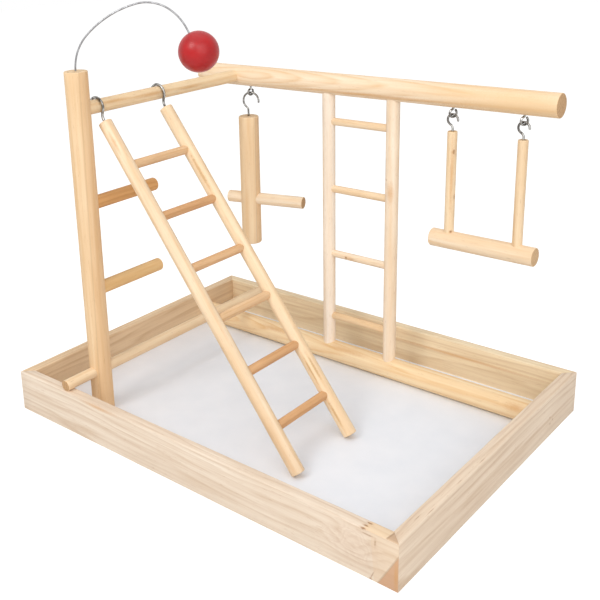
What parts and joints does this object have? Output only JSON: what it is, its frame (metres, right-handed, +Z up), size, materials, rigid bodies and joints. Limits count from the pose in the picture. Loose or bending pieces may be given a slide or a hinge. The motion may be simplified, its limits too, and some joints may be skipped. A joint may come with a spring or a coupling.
{
  "type": "parrot play stand",
  "caption": "Table-top bird play stand: wooden tray with a corner post, raised perch, fixed and leaning ladders, swing, hanging T perch and a ball on a springy wire.",
  "frame": {"origin": "centre of the tray's underside, on the surface it stands on", "axes": "+X along the long front rail, from the post's corner to the swing's side; +Y from the front rail to the back rail; +Z up"},
  "size_m": [0.4, 0.3, 0.3686],
  "materials": {
    "pine_rail": "sanded, unfinished softwood",
    "pine_dowel": "sanded, unfinished softwood",
    "white_panel": "matt white-faced board",
    "bright_hook": "bright zinc plate",
    "spring_wire": "drawn spring wire",
    "red_lacquer": "gloss red lacquer on turned wood",
    "zinc_fastener": "zinc plate"
  },
  "bodies": {
    "stand": {"front_rail": "pine_rail", "back_rail": "pine_rail", "left_rail": "pine_rail", "right_rail": "pine_rail", "tray_floor": "white_panel", "corner_brads": "zinc_fastener", "floor_screws": "zinc_fastener", "corner_post": "pine_dowel", "base_bar": "pine_dowel", "cross_dowel": "pine_dowel", "side_perch": "pine_dowel", "long_perch": "pine_dowel", "upper_peg": "pine_dowel", "middle_peg": "pine_dowel", "back_ladder_left_stile": "pine_dowel", "back_ladder_right_stile": "pine_dowel", "back_rung_1": "pine_dowel", "back_rung_2": "pine_dowel", "back_rung_3": "pine_dowel", "back_rung_4": "pine_dowel", "t_perch_eye": "bright_hook", "swing_left_eye": "bright_hook", "swing_right_eye": "bright_hook", "ball_wire_root": "spring_wire"},
    "leaning_ladder": {"leaning_ladder_front_stile": "pine_dowel", "leaning_ladder_back_stile": "pine_dowel", "leaning_ladder_front_hook": "bright_hook", "leaning_ladder_back_hook": "bright_hook", "leaning_rung_1": "pine_dowel", "leaning_rung_2": "pine_dowel", "leaning_rung_3": "pine_dowel", "leaning_rung_4": "pine_dowel", "leaning_rung_5": "pine_dowel", "leaning_rung_6": "pine_dowel"},
    "swing": {"swing_left_hook": "bright_hook", "swing_right_hook": "bright_hook", "swing_left_stile": "pine_dowel", "swing_right_stile": "pine_dowel", "swing_bar": "pine_dowel"},
    "t_perch": {"t_perch_hook": "bright_hook", "t_perch_body": "pine_dowel", "t_perch_peg": "pine_dowel"},
    "wire_and_ball": {"ball_wire": "spring_wire", "red_ball": "red_lacquer"}
  },
  "joints": [
    {"name": "ladder_lift", "type": "hinge", "parent": "stand", "child": "leaning_ladder", "pos_m": [-0.136, -0.05125, 0.2813], "axis": [0, -1, 0], "range_deg": [0, 50]},
    {"name": "swing_sway", "type": "hinge", "parent": "stand", "child": "swing", "pos_m": [0.129, 0.1, 0.2661], "axis": [1, 0, 0], "range_deg": [-60, 60]},
    {"name": "t_perch_sway", "type": "hinge", "parent": "stand", "child": "t_perch", "pos_m": [-0.1215, 0.1, 0.2655], "axis": [0.9659, 0.2588, 0], "range_deg": [-50, 50]},
    {"name": "wire_flex", "type": "hinge", "parent": "stand", "child": "wire_and_ball", "pos_m": [-0.136, -0.1075, 0.3145], "axis": [-0.6428, 0.766, 0], "range_deg": [-18, 18], "stiffness_Nm_per_rad": 0.25, "springref_deg": -3.08}
  ]
}
